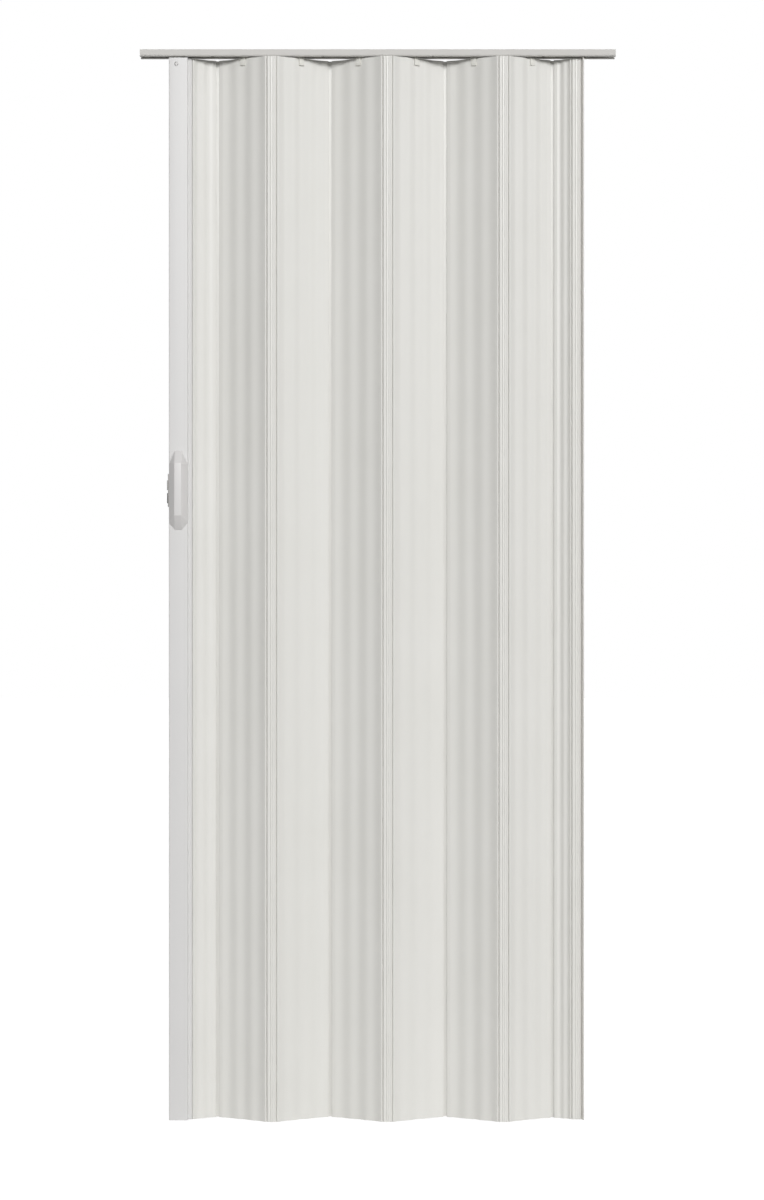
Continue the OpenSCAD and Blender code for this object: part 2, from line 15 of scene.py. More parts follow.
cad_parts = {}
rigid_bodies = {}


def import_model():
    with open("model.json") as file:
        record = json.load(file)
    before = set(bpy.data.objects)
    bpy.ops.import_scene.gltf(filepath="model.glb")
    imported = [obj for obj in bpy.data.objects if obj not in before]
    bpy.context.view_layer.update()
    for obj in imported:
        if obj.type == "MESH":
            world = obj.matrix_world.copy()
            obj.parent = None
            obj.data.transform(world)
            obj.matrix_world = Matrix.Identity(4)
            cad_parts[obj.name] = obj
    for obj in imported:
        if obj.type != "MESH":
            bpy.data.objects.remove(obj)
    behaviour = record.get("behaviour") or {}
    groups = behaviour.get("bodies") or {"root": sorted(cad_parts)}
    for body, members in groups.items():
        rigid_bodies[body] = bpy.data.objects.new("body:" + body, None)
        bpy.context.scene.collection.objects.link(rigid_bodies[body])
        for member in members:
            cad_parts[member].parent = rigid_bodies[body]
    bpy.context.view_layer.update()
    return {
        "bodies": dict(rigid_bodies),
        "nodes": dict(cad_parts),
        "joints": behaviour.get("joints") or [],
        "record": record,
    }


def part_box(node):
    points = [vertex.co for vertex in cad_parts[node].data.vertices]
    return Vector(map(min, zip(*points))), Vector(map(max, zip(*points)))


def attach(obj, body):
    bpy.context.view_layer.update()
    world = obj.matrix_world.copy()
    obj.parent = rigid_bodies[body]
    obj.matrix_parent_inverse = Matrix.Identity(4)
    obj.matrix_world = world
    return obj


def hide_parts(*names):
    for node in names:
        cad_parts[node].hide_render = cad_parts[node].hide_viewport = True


LOG = logging.getLogger("folding_door")

MM = 0.001
UP = Vector((0, 0, 1))
LEADING = Vector((-1, 0, 0))
Point = tuple[float, float]
Loop = list[Point]

PANELS = (
    "jamb_half_panel", "panel_6", "panel_5", "panel_4",
    "panel_3", "panel_2", "panel_1", "lead_half_panel",
)
STRIPS = (
    "jamb_hinge", "back_hinge_4", "front_hinge_3", "back_hinge_3",
    "front_hinge_2", "back_hinge_2", "front_hinge_1", "back_hinge_1",
)


class Slot(Enum):
    """Material slots of the stored record."""

    PANEL = "vinyl_panel"
    HINGE = "vinyl_hinge"
    POST = "vinyl_post"
    TRIM = "vinyl_trim"
    TRACK = "track_enamel"
    NYLON = "nylon"
    HANDLE = "handle"
    LATCH = "latch_grey"
    TONGUE = "latch_dark"
    SCREW = "screw"


class Side(Enum):
    """Sides of the door, with the sign that turns a front measure to that side."""

    FRONT = -1
    BACK = 1


def linear(hex_colour: str) -> tuple[float, float, float, float]:
    """Turn an sRGB hex colour to linear light.

    Args:
        hex_colour: Six hex digits after a hash sign.

    Returns:
        Red, green, blue and an alpha of 1.
    """
    parts = [int(hex_colour[i:i + 2], 16) / 255 for i in (1, 3, 5)]
    red, green, blue = (p / 12.92 if p <= 0.04045 else ((p + 0.055) / 1.055) ** 2.4 for p in parts)
    return red, green, blue, 1.0


def add_node(
    tree: bpy.types.NodeTree,
    kind: str,
    settings: dict[str, object] | None = None,
    values: dict[str, object] | None = None,
    links: dict[str, bpy.types.NodeSocket] | None = None,
) -> bpy.types.Node:
    """Add a node with its settings, socket values and incoming links.

    Args:
        tree: Node tree that receives the node.
        kind: Type name of the node.
        settings: Properties of the node itself.
        values: Constants, by the name or number of an input socket.
        links: Output sockets, by the input socket they lead to.

    Returns:
        The new node.
    """
    node = tree.nodes.new(kind)
    for key, value in (settings or {}).items():
        setattr(node, key, value)
    for key, value in (values or {}).items():
        node.inputs[key].default_value = value
    for key, socket in (links or {}).items():
        tree.links.new(socket, node.inputs[key])
    return node


def blank_tree(owner: bpy.types.Material | bpy.types.World) -> bpy.types.NodeTree:
    """Return the emptied node tree of a material or a world."""
    owner.use_nodes = True
    owner.node_tree.nodes.clear()
    return owner.node_tree


def largest_of(tree: bpy.types.NodeTree, *sockets: bpy.types.NodeSocket) -> bpy.types.NodeSocket:
    """Return a socket that carries the largest of several."""
    largest = sockets[0]
    for socket in sockets[1:]:
        node = add_node(tree, "ShaderNodeMath", {"operation": "MAXIMUM"}, links={0: largest, 1: socket})
        largest = node.outputs[0]
    return largest


def place_object(name: str, data: bpy.types.ID) -> bpy.types.Object:
    """Return a new object in the scene that holds a mesh, a lamp or a camera."""
    obj = bpy.data.objects.new(name, data)
    bpy.context.scene.collection.objects.link(obj)
    return obj


@dataclass(frozen=True)
class Finish:
    """Surface of one real material.

    A cloud of a second tone varies the colour, and a fine grain gives the relief.
    """

    title: str
    slot: Slot
    colour: str
    shade: str
    roughness: float
    ior: float = 1.5
    metallic: float = 0.0
    cloud_mm: float = 60.0
    grain_mm: float = 0.8
    grain_stretch: float = 1.0
    relief_mm: float = 0.01
    relief_strength: float = 0.25

    def material(self) -> bpy.types.Material:
        """Return this finish as a material, made on its first use."""
        known = bpy.data.materials.get(self.title)
        if known:
            return known
        material = bpy.data.materials.new(self.title)
        tree = blank_tree(material)
        place = add_node(tree, "ShaderNodeTexCoord").outputs["Object"]
        cloud = add_node(
            tree, "ShaderNodeTexNoise",
            values={"Scale": 1 / (self.cloud_mm * MM), "Detail": 3.0, "Roughness": 0.55},
            links={"Vector": place},
        )
        tone = add_node(
            tree, "ShaderNodeMix", {"data_type": "RGBA"},
            {6: linear(self.colour), 7: linear(self.shade)},
            {"Factor": cloud.outputs["Fac"]},
        )
        fine = 1 / (self.grain_mm * MM)
        stretched = add_node(
            tree, "ShaderNodeMapping",
            values={"Scale": (fine, fine, fine / self.grain_stretch)},
            links={"Vector": place},
        )
        grain = add_node(
            tree, "ShaderNodeTexNoise",
            values={"Scale": 1.0, "Detail": 2.0},
            links={"Vector": stretched.outputs["Vector"]},
        )
        relief = add_node(
            tree, "ShaderNodeBump",
            values={"Strength": self.relief_strength, "Distance": self.relief_mm * MM},
            links={"Height": grain.outputs["Fac"]},
        )
        constants = {"Roughness": self.roughness, "Metallic": self.metallic}
        if not self.metallic:
            constants["IOR"] = self.ior
        surface = add_node(
            tree, "ShaderNodeBsdfPrincipled",
            values=constants,
            links={"Base Color": tone.outputs[2], "Normal": relief.outputs["Normal"]},
        )
        add_node(tree, "ShaderNodeOutputMaterial", links={"Surface": surface.outputs["BSDF"]})
        return material


# Rigid PVC drawn through a die: satin, with faint lines along the draw
EXTRUDED_PVC = Finish(
    "extruded_white_pvc", Slot.PANEL, "#E2E1DD", "#DCDBD6", 0.42, 1.53,
    cloud_mm=180, grain_mm=1.1, grain_stretch=220, relief_mm=0.03, relief_strength=0.3,
)
# Plasticised PVC of the strips: a little glossier than the panels, because it is softer
FLEXIBLE_PVC = Finish(
    "flexible_white_pvc", Slot.HINGE, "#E3E2DE", "#DDDCD7", 0.36, 1.53,
    cloud_mm=120, grain_mm=0.9, grain_stretch=260, relief_mm=0.02, relief_strength=0.25,
)
# Thicker rigid PVC of the post: smoother and a shade darker than the panels
POST_PVC = Finish(
    "extruded_post_pvc", Slot.POST, "#D8D7D6", "#D3D2D1", 0.42, 1.53,
    cloud_mm=160, grain_mm=1.3, grain_stretch=240, relief_mm=0.02, relief_strength=0.25,
)
# Rigid PVC of the jamb moulding: as white as the panels and a little duller
TRIM_PVC = Finish(
    "extruded_trim_pvc", Slot.TRIM, "#E4E2DD", "#DDDBD6", 0.44, 1.53,
    cloud_mm=140, grain_mm=1.0, grain_stretch=240, relief_mm=0.02, relief_strength=0.25,
)
# Stoved enamel on a rolled track: even, slightly warm grey, dulled by its fine orange peel
STOVED_ENAMEL = Finish(
    "stoved_grey_enamel", Slot.TRACK, "#CBC9C5", "#C5C3BF", 0.55, 1.5,
    cloud_mm=90, grain_mm=0.7, relief_mm=0.008, relief_strength=0.2,
)
# Natural moulded nylon: milky white and waxy
MOULDED_NYLON = Finish(
    "moulded_nylon", Slot.NYLON, "#E3E2DC", "#DAD9D2", 0.45, 1.53,
    cloud_mm=12, grain_mm=0.35, relief_mm=0.012, relief_strength=0.3,
)
# Moulded ABS of the pulls: satin grey-white with a fine spark-eroded texture
MOULDED_ABS = Finish(
    "moulded_abs", Slot.HANDLE, "#D9D7D6", "#D3D1D0", 0.4, 1.54,
    cloud_mm=45, grain_mm=0.45, relief_mm=0.015, relief_strength=0.3,
)
# Moulded grey polypropylene: dull and slightly greasy
GREY_POLYPROPYLENE = Finish(
    "moulded_grey_polypropylene", Slot.LATCH, "#A5A3A1", "#9C9A98", 0.5, 1.49,
    cloud_mm=20, grain_mm=0.4, relief_mm=0.012, relief_strength=0.3,
)
# Black acetal tongue: dark, with a narrow soft highlight
BLACK_ACETAL = Finish(
    "moulded_black_acetal", Slot.TONGUE, "#2B2A2A", "#232222", 0.42, 1.48,
    cloud_mm=15, grain_mm=0.35, relief_mm=0.01, relief_strength=0.3,
)
# Zinc plate on steel screws: dull grey, blurred by the plating
ZINC_PLATE = Finish(
    "zinc_plated_steel", Slot.SCREW, "#A09F9E", "#929190", 0.5, metallic=1.0,
    cloud_mm=4, grain_mm=0.3, relief_mm=0.01, relief_strength=0.2,
)


@dataclass(frozen=True)
class Placement:
    """Frame in which a shape is drawn, in millimetres."""

    origin: Vector = field(default_factory=lambda: Vector((0, 0, 0)))
    x_axis: Vector = field(default_factory=lambda: Vector((1, 0, 0)))
    y_axis: Vector = field(default_factory=lambda: Vector((0, 1, 0)))
    z_axis: Vector = field(default_factory=lambda: Vector((0, 0, 1)))

    @property
    def mirrored(self) -> bool:
        """Whether the frame turns a solid inside out."""
        return self.x_axis.cross(self.y_axis).dot(self.z_axis) < 0

    def point(self, x: float, y: float, z: float) -> Vector:
        """Return a drawn point in metres."""
        return (self.origin + x * self.x_axis + y * self.y_axis + z * self.z_axis) * MM

    def moved(self, offset: Vector) -> Placement:
        """Return the frame with its origin moved by an offset."""
        return Placement(self.origin + offset, self.x_axis, self.y_axis, self.z_axis)


UPRIGHT = Placement()


def facing(origin: Vector, outward: Vector, up: Vector) -> Placement:
    """Return a frame whose Z leaves a surface along its outward direction and whose Y runs up."""
    return Placement(origin, up.cross(outward), up, outward)


def area(loop: Loop) -> float:
    """Return the signed area of a loop."""
    return sum(a[0] * b[1] - b[0] * a[1] for a, b in zip(loop, loop[1:] + loop[:1])) / 2


def arc(centre: Point, radius: float, start: float, end: float, steps: int) -> Loop:
    """Return points along an arc, its ends included.

    Args:
        centre: Centre of the arc.
        radius: Radius of the arc.
        start: First angle in degrees.
        end: Last angle in degrees.
        steps: Number of chords.
    """
    angles = [math.radians(start + (end - start) * i / steps) for i in range(steps + 1)]
    return [(centre[0] + radius * math.cos(a), centre[1] + radius * math.sin(a)) for a in angles]


def fillet(corners: list[tuple[float, float, float]], steps: int = 5) -> Loop:
    """Round the corners of a closed outline.

    Args:
        corners: X, Y and radius of each corner.
        steps: Number of chords in each rounding.

    Returns:
        The rounded outline.
    """
    out: Loop = []
    count = len(corners)
    for i, (x, y, radius) in enumerate(corners):
        here = Vector((x, y))
        if radius <= 0:
            out.append((x, y))
            continue
        back = (Vector(corners[i - 1][:2]) - here).normalized()
        ahead = (Vector(corners[(i + 1) % count][:2]) - here).normalized()
        half = back.angle(ahead) / 2
        middle = here + (back + ahead).normalized() * (radius / math.sin(half))
        first = here + back * (radius / math.tan(half)) - middle
        last = here + ahead * (radius / math.tan(half)) - middle
        turn = first.angle_signed(last)
        for j in range(steps + 1):
            spoke = first.copy()
            spoke.rotate(Matrix.Rotation(-turn * j / steps, 2))
            out.append((middle.x + spoke.x, middle.y + spoke.y))
    return out


def rounded_box(x0: float, y0: float, x1: float, y1: float, radius: float, steps: int = 5) -> Loop:
    """Return a rectangle with four equal roundings."""
    return fillet([(x0, y0, radius), (x1, y0, radius), (x1, y1, radius), (x0, y1, radius)], steps)


class Shape:
    """Vertices and faces of a piece while it is being drawn."""

    def __init__(self) -> None:
        """Start empty."""
        self.vertices: list[Vector] = []
        self.faces: list[tuple[int, ...]] = []

    def add(self, points: list[Vector], faces: list[tuple[int, ...]], flip: bool) -> Shape:
        """Append faces, turned round where the frame is mirrored."""
        start = len(self.vertices)
        self.vertices += points
        for face in faces:
            order = tuple(start + i for i in face)
            self.faces.append(order[::-1] if flip else order)
        return self

    def prism(
        self, outline: Loop, z0: float, z1: float, at: Placement = UPRIGHT, holes: tuple[Loop, ...] = (),
    ) -> Shape:
        """Extrude an outline with holes from z0 to z1.

        Args:
            outline: Outer loop in millimetres.
            z0: Lower height.
            z1: Upper height.
            at: Frame of the drawing.
            holes: Inner loops.

        Returns:
            This shape.
        """
        loops = [outline if area(outline) > 0 else outline[::-1]]
        loops += [hole if area(hole) < 0 else hole[::-1] for hole in holes]
        flat = [p for loop in loops for p in loop]
        count = len(flat)
        points = [at.point(x, y, z) for z in (z0, z1) for x, y in flat]
        faces: list[tuple[int, ...]] = []
        start = 0
        for loop in loops:
            for i in range(len(loop)):
                a, b = start + i, start + (i + 1) % len(loop)
                faces.append((a, b, count + b, count + a))
            start += len(loop)
        for triangle in tessellate_polygon([[Vector((x, y, 0)) for x, y in loop] for loop in loops]):
            corners = tuple(triangle) if area([flat[i] for i in triangle]) > 0 else tuple(triangle)[::-1]
            faces.append(tuple(count + i for i in corners))
            faces.append(corners[::-1])
        return self.add(points, faces, at.mirrored)

    def lathe(self, profile: Loop, at: Placement = UPRIGHT, segments: int = 40) -> Shape:
        """Turn a profile of radius and height round the frame's Z axis.

        Args:
            profile: Radius and height pairs, from one end of the axis to the other.
            at: Frame of the drawing.
            segments: Number of sides.

        Returns:
            This shape.
        """
        if profile[0][1] > profile[-1][1]:
            profile = profile[::-1]
        angles = [2 * math.pi * i / segments for i in range(segments)]
        points = [at.point(r * math.cos(a), r * math.sin(a), h) for r, h in profile for a in angles]
        faces: list[tuple[int, ...]] = []
        for row in range(len(profile) - 1):
            for i in range(segments):
                a, b = row * segments + i, row * segments + (i + 1) % segments
                faces.append((a, b, b + segments, a + segments))
        faces.append(tuple(range(segments))[::-1])
        faces.append(tuple(range(len(points) - segments, len(points))))
        return self.add(points, faces, at.mirrored)

    def bore(self, diameter: float, z0: float, z1: float, at: Placement) -> Shape:
        """Add the round bar that drills a hole from z0 to z1."""
        return self.lathe([(diameter / 2, z0), (diameter / 2, z1)], at)

    def piece(self, name: str, crease_deg: float = 32.0) -> bpy.types.Object:
        """Return the drawn shape as an object.

        Args:
            name: Name of the object.
            crease_deg: Edges that turn more than this stay sharp.
        """
        mesh = bpy.data.meshes.new(name)
        mesh.from_pydata(self.vertices, [], self.faces)
        mesh.validate()
        obj = place_object(name, mesh)
        smooth(obj, crease_deg)
        return obj


def smooth(obj: bpy.types.Object, crease_deg: float) -> None:
    """Shade an object smooth up to a crease angle."""
    obj.data.polygons.foreach_set("use_smooth", [True] * len(obj.data.polygons))
    obj.data.set_sharp_from_angle(angle=math.radians(crease_deg))


def settle(obj: bpy.types.Object, crease_deg: float) -> None:
    """Write an object's modifiers into its mesh."""
    graph = bpy.context.evaluated_depsgraph_get()
    mesh = bpy.data.meshes.new_from_object(obj.evaluated_get(graph), depsgraph=graph)
    old = obj.data
    obj.modifiers.clear()
    obj.data = mesh
    mesh.name = obj.name
    bpy.data.meshes.remove(old)
    smooth(obj, crease_deg)


def carve(obj: bpy.types.Object, tools: Shape, crease_deg: float = 32.0) -> None:
    """Cut one or more closed shapes out of an object.

    Args:
        obj: Object that loses material.
        tools: Shapes to take away.
        crease_deg: Edges that turn more than this stay sharp.
    """
    tool = tools.piece(obj.name + "_cutter")
    cut = obj.modifiers.new("cut", "BOOLEAN")
    cut.operation = "DIFFERENCE"
    cut.solver = "EXACT"
    cut.use_self = True
    cut.object = tool
    settle(obj, crease_deg)
    bpy.data.objects.remove(tool)


def soften(obj: bpy.types.Object, width_mm: float, segments: int = 3, crease_deg: float = 40.0) -> None:
    """Round an object's hard edges.

    Args:
        obj: Object whose edges are rounded.
        width_mm: Width of the rounding.
        segments: Number of chords in it.
        crease_deg: Edges that turn more than this are rounded.
    """
    bevel = obj.modifiers.new("bevel", "BEVEL")
    bevel.width = width_mm * MM
    bevel.segments = segments
    bevel.limit_method = "ANGLE"
    bevel.angle_limit = math.radians(crease_deg)
    bevel.use_clamp_overlap = True
    settle(obj, crease_deg)


def dress(obj: bpy.types.Object, finish: Finish, body: str, *nodes: str) -> bpy.types.Object:
    """Give a piece its material, its body and the nodes it stands for.

    Args:
        obj: Piece in its place.
        finish: Surface of the piece.
        body: Body that carries the piece.
        nodes: Nodes that the piece replaces.

    Returns:
        The same piece.
    """
    obj.data.materials.clear()
    obj.data.materials.append(finish.material())
    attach(obj, body)
    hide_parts(*nodes)
    LOG.info("%s: %d faces in %s", obj.name, len(obj.data.polygons), finish.title)
    return obj


def box_mm(node: str) -> tuple[Vector, Vector]:
    """Return a node's lowest and highest corners in millimetres."""
    low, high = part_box(node)
    return low / MM, high / MM


@dataclass
class Layout:
    """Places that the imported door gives: fold lines, hangers and heights, in millimetres."""

    right: list[Vector]
    left: list[Vector]
    hangers: dict[str, Vector]
    bottom: float
    top: float

    @classmethod
    def read(cls, frame: dict) -> Layout:
        """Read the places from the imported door.
        """
        joints = frame["joints"]
        rows = joints.values() if isinstance(joints, dict) else joints
        at = {row["name"]: Vector(row["pos_m"]) / MM for row in rows if row.get("pos_m")}
        right = [at[f"{strip}_left_fold"] for strip in STRIPS]
        left = [at[f"{strip}_right_fold"] for strip in STRIPS[1:]] + [at["lead_post_fold"]]
        hangers = {f"panel_{i}": at[f"glider_{i}_swivel"] for i in range(1, 7)}
        low, high = box_mm("jamb_half_panel")
        return cls(right, left, hangers, low.z, high.z)


@dataclass
class HeadTrack:
    """Rolled C-section track with a bead along each lower edge."""

    width: float = 28.0
    height: float = 13.0
    wall: float = 1.6
    slot: float = 12.0
    bead: float = 0.9
    bead_low: float = 1.6
    bead_height: float = 2.0
    bead_cant: float = 0.35
    hole: float = 4.5
    access: float = 5.5
    hole_y: float = -9.8
    hole_pitch: float = 207.5
    hole_count: int = 4

    def section(self) -> Loop:
        """Return the closed outline of the track's section in Y and Z."""
        half, wall, low = self.width / 2, self.wall, -self.height
        inner = half - wall
        bead_z0 = low + self.bead_low
        bead_z1 = bead_z0 + self.bead_height
        side = [
            (self.slot / 2, low + wall, 0.4), (self.slot / 2, low, 0.4), (half, low, 0.5),
            (half, bead_z0, 0.2), (half + self.bead, bead_z0, 0.3),
            (half + self.bead - self.bead_cant, bead_z1, 0.3), (half, bead_z1, 0.2), (half, 0, 0.6),
        ]
        inside = [(inner, -wall, 0.3), (inner, low + wall, 0.3)]
        mirror = [(-y, z, r) for y, z, r in reversed(side)]
        mirror_inside = [(-y, z, r) for y, z, r in reversed(inside)]
        return fillet(side + mirror + mirror_inside + inside, 4)

    def build(self) -> bpy.types.Object:
        """Return the track with its screw and access holes."""
        low, high = box_mm("head_track")
        at = Placement(Vector((0, 0, 0)), Vector((0, 1, 0)), UP, Vector((1, 0, 0)))
        track = Shape().prism(self.section(), low.x, high.x, at).piece("track_rail")
        tools = Shape()
        for i in range(self.hole_count):
            x = (i - (self.hole_count - 1) / 2) * self.hole_pitch
            drill = Placement(Vector((x, self.hole_y, 0)))
            tools.bore(self.hole, -self.wall - 1, 1, drill)
            tools.bore(self.access, -self.height - 1, -self.height + self.wall + 1, drill)
        carve(track, tools)
        return track

    def dress(self) -> None:
        """Build the track and give it its enamel."""
        dress(self.build(), STOVED_ENAMEL, "track", "head_track")


@dataclass
class Bead:
    """Bead along a panel's edge and the socket that holds it."""

    radius: float = 1.5
    neck: float = 1.0
    fit: float = 0.05
    wall: float = 1.25
    web: float = 0.8
    web_gap: float = 0.2
    mouth_from: float = -12.8
    mouth_to: float = 110.8

    @property
    def bore(self) -> float:
        """Radius of the socket's bore."""
        return self.radius + self.fit

    @property
    def outer(self) -> float:
        """Outer radius of the socket."""
        return self.bore + self.wall

    @property
    def web_back(self) -> float:
        """Distance of the web's back face from the line of the beads."""
        return self.bore + self.web_gap

    @property
    def web_front(self) -> float:
        """Distance of the web's front face from the line of the beads."""
        return self.web_back + self.web

    def socket(self, centre: Point) -> Loop:
        """Return the run round a socket from its web's front face to its web's back face.

        Args:
            centre: Fold line of the socket.
        """
        front_from = -180 + math.degrees(math.asin(self.web_front / self.outer))
        back_to = 180 + math.degrees(math.asin(self.web_back / self.outer))
        return (
            arc(centre, self.outer, front_from, self.mouth_from, 14)
            + arc(centre, self.bore, self.mouth_from, self.mouth_to - 360, 24)
            + arc(centre, self.outer, self.mouth_to, back_to, 12)
        )


@dataclass
class FoldingPanel:
    """One hollow fluted panel with a bead and a covering lip along each edge."""

    name: str
    index: int
    layout: Layout
    bead: Bead = field(default_factory=Bead)
    thickness: float = 8.4
    flute_depth: float = 1.6
    dish_depth: float = 1.6
    skin: float = 1.0
    edge_wall: float = 1.4
    end_gap: float = 3.1
    corner: float = 2.0
    lip_over: float = 1.6
    lip_gap: float = 0.3
    lip_root: float = 0.35
    step: float = 0.9
    clip_width: float = 9.4
    clip_land: float = 1.3
    seat: float = 0.15
    tab: float = 2.0
    clip_height: float = 14.5
    clip_rise: float = 1.1
    clip_solid: float = 5.1
    notch_over: float = 5.0
    notch_half: float = 9.0
    notch_round: float = 0.3
    recess_half: float = 10.0

    @property
    def full(self) -> bool:
        """Whether the panel hangs from a glider of its own."""
        return self.name in self.layout.hangers

    @property
    def flutes(self) -> int:
        """Number of flutes across the panel."""
        return 3 if self.full else 2

    @property
    def width(self) -> float:
        """Distance between the panel's fold lines."""
        return (self.layout.right[self.index] - self.layout.left[self.index]).to_2d().length

    @property
    def at(self) -> Placement:
        """Frame of the section, its origin on the left fold line and turned over for every other panel."""
        left, right = self.layout.left[self.index], self.layout.right[self.index]
        along = Vector((right.x - left.x, right.y - left.y, 0)).normalized()
        across = Vector((-along.y, along.x, 0)) * (1 if self.index % 2 else -1)
        return Placement(Vector((left.x, left.y, 0)), along, across, UP)

    @property
    def hang(self) -> float:
        """Distance of the glider from the left fold line."""
        left = self.layout.left[self.index]
        return (self.layout.hangers[self.name] - left).to_2d().length

    def half_thickness(self, x: float) -> float:
        """Return half the thickness at a distance from the left fold line."""
        half = self.width / 2 - self.end_gap
        s = (x - self.width / 2) / half
        dish = self.dish_depth * (1 - s * s)
        flute = self.flute_depth * (1 - math.cos(math.pi * self.flutes * (s + 1))) / 2
        return self.thickness / 2 - dish - flute

    def corner_drop(self, distance: float) -> float:
        """Return how far a rounded corner lies below the face at a distance from the panel's end."""
        if distance >= self.corner:
            return 0.0
        return self.corner - math.sqrt(self.corner ** 2 - (self.corner - distance) ** 2)

    def edge(self) -> Loop:
        """Return the run of the left edge, from the back face's corner round the bead to the lip's root."""
        x0, root = self.end_gap, self.end_gap + self.corner
        drops = [self.corner * (1 - math.cos(math.radians(15 * i))) for i in range(7)]
        low = [(x0 + d, -self.half_thickness(x0 + d) + self.corner_drop(d)) for d in reversed(drops)]
        neck = self.bead.neck / 2
        turn = math.degrees(math.asin(neck / self.bead.radius))
        bead = arc((0, 0), self.bead.radius, -turn, turn - 360, 24)
        lip = self.thickness / 2 - self.bead.outer - self.lip_gap
        inner = self.thickness / 2 - lip
        rise = [(x0 + d, self.half_thickness(x0 + d) - self.corner_drop(d)) for d in drops]
        rise = [p for p in rise if p[1] < inner - 0.05]
        tip = arc((lip / 2 - self.lip_over, self.thickness / 2 - lip / 2), lip / 2, -90, -270, 8)
        drop = self.thickness / 2 - self.half_thickness(root)
        blend = [i / 6 for i in range(1, 6)]
        outer = [(root * t, self.thickness / 2 - drop * t * t * (3 - 2 * t)) for t in blend]
        return (
            low + [(x0, -neck)] + bead + [(x0, neck)] + rise
            + [(x0 + self.lip_root, inner)] + tip + outer
        )

    def face(self) -> Loop:
        """Return the run of the fluted front face between the lip's root and the far corner."""
        a = self.end_gap + self.corner
        b = self.width - a
        count = math.ceil((b - a) / self.step)
        xs = [a + (b - a) * i / count for i in range(count)]
        return [(x, self.half_thickness(x)) for x in xs]

    def section(self) -> Loop:
        """Return the closed outline of the panel, the same when turned end for end."""
        run = self.edge() + self.face()
        return run + [(self.width - x, -y) for x, y in run]

    def chambers(self) -> tuple[Loop, ...]:
        """Return the hollows between the flutes."""
        middle, half = self.width / 2, self.width / 2 - self.end_gap
        valleys = [middle + half * (-1 + (2 * j + 1) / self.flutes) for j in range(self.flutes)]
        starts = [self.end_gap + self.edge_wall] + [v + self.skin / 2 for v in valleys]
        ends = [v - self.skin / 2 for v in valleys] + [self.width - self.end_gap - self.edge_wall]
        if self.full:
            land = self.clip_width / 2 + self.clip_land
            centre = (self.flutes + 1) // 2
            ends[centre - 1] = min(middle, self.hang) - land
            starts[centre] = max(middle, self.hang) + land
        loops = []
        for a, b in zip(starts, ends):
            count = max(2, math.ceil((b - a) / 2))
            xs = [a + (b - a) * i / count for i in range(count + 1)]
            upper = [(x, self.half_thickness(x) - self.skin) for x in xs]
            loops.append(upper + [(x, -y) for x, y in reversed(upper)])
        return tuple(loops)

    def clip_seat(self) -> Shape:
        """Return the notch for the clip, with a recess for each of its legs."""
        reach = self.clip_width / 2 + self.seat
        x0, x1 = self.hang - reach, self.hang + reach
        top = self.layout.top
        above = top + self.notch_over
        seat = top + self.clip_rise - self.clip_solid - self.seat
        foot = top + self.clip_rise - self.clip_height - self.seat
        notch = rounded_box(x0, -self.notch_half, x1, self.notch_half, self.notch_round)
        shape = Shape().prism(notch, seat, above, self.at)
        for side in (-1, 1):
            near, far = side * self.tab / 2, side * self.recess_half
            shape.prism([(x0, near), (x1, near), (x1, far), (x0, far)], foot, above, self.at)
        return shape

    def build(self) -> bpy.types.Object:
        """Return the panel, notched for its clip where it has one."""
        shape = Shape().prism(self.section(), self.layout.bottom, self.layout.top, self.at, self.chambers())
        panel = shape.piece(f"{self.name}_profile")
        if self.full:
            carve(panel, self.clip_seat())
        return panel

    def dress(self) -> None:
        """Build the panel and give it its vinyl."""
        dress(self.build(), EXTRUDED_PVC, self.name, self.name)


@dataclass
class HingeStrip:
    """Soft strip with a socket along each edge and two ribs between them."""

    name: str
    index: int
    layout: Layout
    bead: Bead = field(default_factory=Bead)
    pitch: float = 12.0
    rib_width: float = 1.1
    rib_pitch: float = 3.4
    rib_height: float = 0.8
    groove: float = 0.4
    groove_inset: float = 1.0
    back_half: float = 0.8

    def section(self) -> Loop:
        """Return the closed outline of the strip, its ribs towards -Y."""
        front, back = -self.bead.web_front, -self.bead.web_back
        socket = self.bead.socket((self.pitch / 2, 0))
        rib = self.rib_pitch / 2
        bump = [
            (rib + self.rib_width * t, front - self.rib_height * math.cos(math.pi * t) ** 2)
            for t in (-0.5, -0.33, -0.17, 0.0, 0.17, 0.33, 0.5)
        ]
        groove = [(socket[0][0] - self.groove_inset, front + self.groove)]
        half = bump + groove + socket + [(self.back_half, back)]
        return half + [(-x, y) for x, y in reversed(half)]

    def build(self) -> bpy.types.Object:
        """Return the strip in its place to the right of its panel."""
        left = self.layout.right[self.index]
        flip = -1 if self.index % 2 else 1
        middle = Vector((left.x + self.pitch / 2, left.y, 0))
        at = Placement(middle, Vector((1, 0, 0)), Vector((0, flip, 0)), UP)
        shape = Shape().prism(self.section(), self.layout.bottom, self.layout.top, at)
        return shape.piece(f"{self.name}_strip")

    def dress(self) -> None:
        """Build the strip and give it its soft vinyl."""
        body = "track" if self.index == 0 else self.name
        dress(self.build(), FLEXIBLE_PVC, body, self.name)


